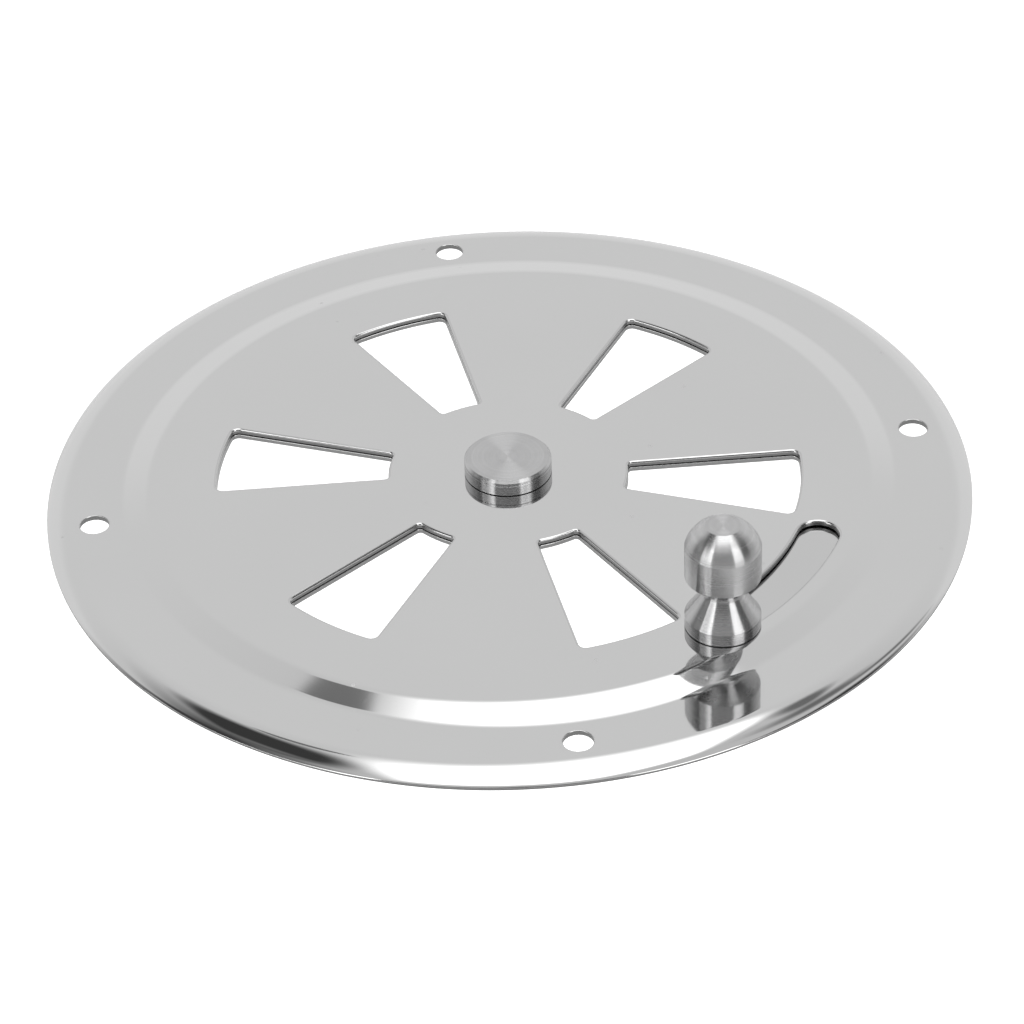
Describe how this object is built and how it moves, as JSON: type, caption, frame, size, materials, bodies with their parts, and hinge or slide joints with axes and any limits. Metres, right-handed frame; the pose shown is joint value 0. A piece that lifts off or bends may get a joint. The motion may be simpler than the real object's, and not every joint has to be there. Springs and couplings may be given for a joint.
{
  "type": "rotary vent cover",
  "caption": "Round polished steel vent cover with a turning shutter disc that a small knob slides from open to closed.",
  "frame": {"origin": "on the pivot axis, in the plane of the rim's foot, where the cover meets the wall", "axes": "+Z out of the front of the cover along the pivot, -Y towards the knob's slot"},
  "size_m": [0.127, 0.127, 0.0265],
  "materials": {
    "polished_steel": "mirror polished stainless sheet",
    "disc_steel": "polished stainless sheet",
    "turned_steel": "turned stainless bar with fine tool marks",
    "fastener_steel": "plain stainless fastener",
    "nylon": "natural nylon"
  },
  "bodies": {
    "cover": {"face_plate": "polished_steel", "pivot_stud": "turned_steel", "pivot_spacer": "nylon", "spring_washer": "fastener_steel", "pivot_washer": "fastener_steel", "pivot_nut": "fastener_steel", "pivot_nut_ring": "nylon"},
    "shutter": {"shutter_disc": "disc_steel", "knob": "turned_steel", "slide_washer": "nylon", "knob_washer": "fastener_steel", "knob_lock_washer": "fastener_steel", "knob_nut": "fastener_steel"}
  },
  "joints": [
    {"name": "shutter_turn", "type": "hinge", "parent": "cover", "child": "shutter", "pos_m": [0, 0, 0], "axis": [0, 0, 1], "range_deg": [0, 30]}
  ]
}
